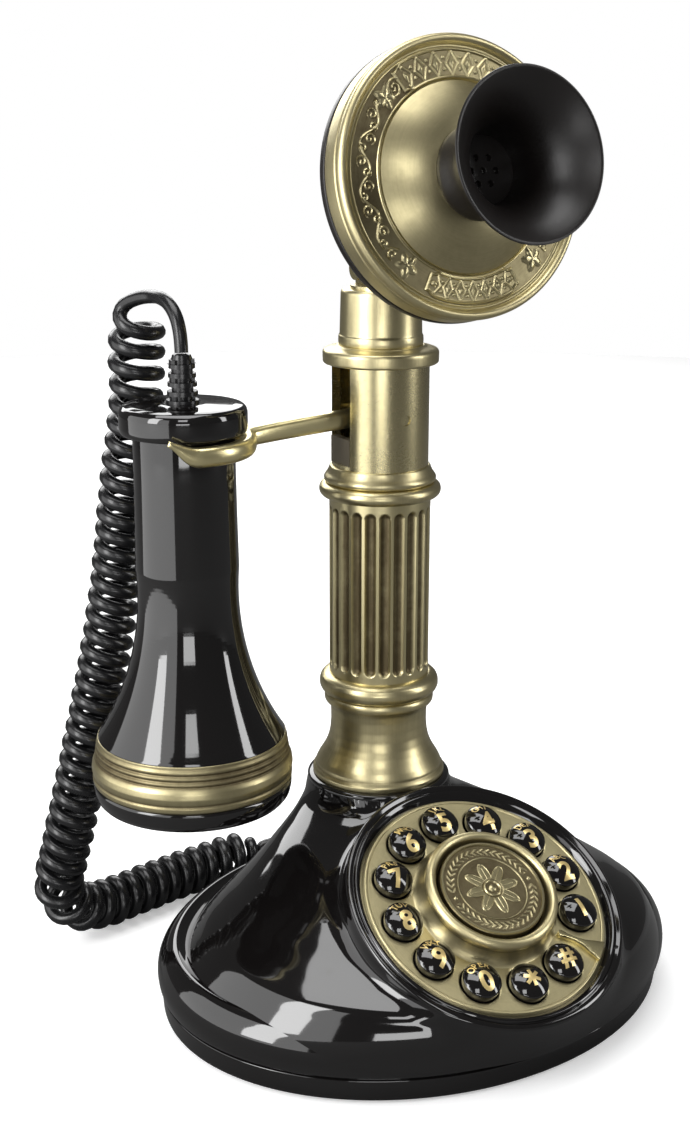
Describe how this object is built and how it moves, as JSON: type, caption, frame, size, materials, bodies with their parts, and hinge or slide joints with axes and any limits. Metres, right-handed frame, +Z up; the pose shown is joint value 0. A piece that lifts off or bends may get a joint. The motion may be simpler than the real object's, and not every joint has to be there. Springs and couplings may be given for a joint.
{
  "type": "candlestick telephone",
  "caption": "Candlestick desk telephone: fluted brass column, tilting trumpet mouthpiece, bell-shaped earpiece on a forked hook, push buttons set in a dial plate and a curly cord.",
  "frame": {"origin": "the column's axis at desk level", "axes": "+Z up along the column, -Y towards the dial and the speaker, +X to the right as seen from the dial's side, earpiece at -X"},
  "size_m": [0.2163, 0.2023, 0.339],
  "materials": {
    "gloss_shell": "polished brown-black",
    "black_plastic": "satin brown-black",
    "cord_black": "semi-gloss black cord jacket",
    "antique_brass": "antique patina, brushed",
    "bright_brass": "satin polished",
    "steel": "plain",
    "board_green": "printed circuit board",
    "rubber_black": "soft feet and keypad mat",
    "iron_weight": "plain"
  },
  "bodies": {
    "base": {"base_shell": "gloss_shell", "base_plate": "black_plastic", "base_screws": "steel", "rubber_feet": "rubber_black", "ballast_weight": "iron_weight", "main_board": "board_green", "ringer": "black_plastic", "line_jack": "black_plastic", "cord_bushing": "black_plastic", "dial_plate": "antique_brass", "dial_bezel": "antique_brass", "dial_medallion": "antique_brass", "finger_stop": "antique_brass", "keypad_mat": "rubber_black", "keypad_board": "board_green", "column_foot": "antique_brass", "small_ring": "antique_brass", "lower_ring": "antique_brass", "fluted_tube": "antique_brass", "upper_ring": "antique_brass", "bell_collar": "antique_brass", "hook_tube": "antique_brass", "slot_insert": "black_plastic", "column_flange": "antique_brass", "column_cap": "antique_brass", "tie_rod": "steel", "hook_pivot_pin": "steel", "hook_spring": "steel", "hook_switch": "black_plastic", "tilt_bracket": "black_plastic", "tilt_screw": "bright_brass", "curly_cord": "cord_black", "cord_tail": "cord_black"},
    "hook": {"hook_lever": "bright_brass"},
    "earpiece": {"receiver_body": "gloss_shell", "receiver_cap": "gloss_shell", "receiver_band": "antique_brass", "ear_cap": "gloss_shell", "receiver_capsule": "black_plastic", "receiver_strain_relief": "black_plastic", "cord_lead": "cord_black"},
    "transmitter": {"tilt_arm": "black_plastic", "transmitter_back": "black_plastic", "transmitter_drum": "antique_brass", "transmitter_face": "antique_brass", "mouthpiece_horn": "black_plastic", "microphone": "black_plastic"},
    "key_1": {"button_1": "gloss_shell"},
    "key_2": {"button_2": "gloss_shell"},
    "key_3": {"button_3": "gloss_shell"},
    "key_4": {"button_4": "gloss_shell"},
    "key_5": {"button_5": "gloss_shell"},
    "key_6": {"button_6": "gloss_shell"},
    "key_7": {"button_7": "gloss_shell"},
    "key_8": {"button_8": "gloss_shell"},
    "key_9": {"button_9": "gloss_shell"},
    "key_0": {"button_0": "gloss_shell"},
    "key_star": {"button_star": "gloss_shell"},
    "key_hash": {"button_hash": "gloss_shell"}
  },
  "joints": [
    {"name": "transmitter_tilt", "type": "hinge", "parent": "base", "child": "transmitter", "pos_m": [0, 0.003, 0.2626], "axis": [1, 0, 0], "range_deg": [-15, 22]},
    {"name": "earpiece_lift", "type": "slide", "parent": "base", "child": "earpiece", "axis": [-0.9023, 0, 0.4311], "range_m": [0, 0.09]},
    {"name": "hook_swing", "type": "hinge", "parent": "base", "child": "hook", "pos_m": [0, 0, 0.2115], "axis": [0, 1, 0], "range_deg": [0, 8.5], "stiffness_Nm_per_rad": 0.2, "springref_deg": 11.46},
    {"name": "press_1", "type": "slide", "parent": "base", "child": "key_1", "axis": [0, 0.506, -0.8625], "range_m": [0, 0.0015], "stiffness_N_per_m": 200},
    {"name": "press_2", "type": "slide", "parent": "base", "child": "key_2", "axis": [0, 0.506, -0.8625], "range_m": [0, 0.0015], "stiffness_N_per_m": 200},
    {"name": "press_3", "type": "slide", "parent": "base", "child": "key_3", "axis": [0, 0.506, -0.8625], "range_m": [0, 0.0015], "stiffness_N_per_m": 200},
    {"name": "press_4", "type": "slide", "parent": "base", "child": "key_4", "axis": [0, 0.506, -0.8625], "range_m": [0, 0.0015], "stiffness_N_per_m": 200},
    {"name": "press_5", "type": "slide", "parent": "base", "child": "key_5", "axis": [0, 0.506, -0.8625], "range_m": [0, 0.0015], "stiffness_N_per_m": 200},
    {"name": "press_6", "type": "slide", "parent": "base", "child": "key_6", "axis": [0, 0.506, -0.8625], "range_m": [0, 0.0015], "stiffness_N_per_m": 200},
    {"name": "press_7", "type": "slide", "parent": "base", "child": "key_7", "axis": [0, 0.506, -0.8625], "range_m": [0, 0.0015], "stiffness_N_per_m": 200},
    {"name": "press_8", "type": "slide", "parent": "base", "child": "key_8", "axis": [0, 0.506, -0.8625], "range_m": [0, 0.0015], "stiffness_N_per_m": 200},
    {"name": "press_9", "type": "slide", "parent": "base", "child": "key_9", "axis": [0, 0.506, -0.8625], "range_m": [0, 0.0015], "stiffness_N_per_m": 200},
    {"name": "press_0", "type": "slide", "parent": "base", "child": "key_0", "axis": [0, 0.506, -0.8625], "range_m": [0, 0.0015], "stiffness_N_per_m": 200},
    {"name": "press_star", "type": "slide", "parent": "base", "child": "key_star", "axis": [0, 0.506, -0.8625], "range_m": [0, 0.0015], "stiffness_N_per_m": 200},
    {"name": "press_hash", "type": "slide", "parent": "base", "child": "key_hash", "axis": [0, 0.506, -0.8625], "range_m": [0, 0.0015], "stiffness_N_per_m": 200}
  ],
  "couplings": [
    {"joint": "hook_swing", "follows": "earpiece_lift", "rad_per_m": 1.551}
  ]
}
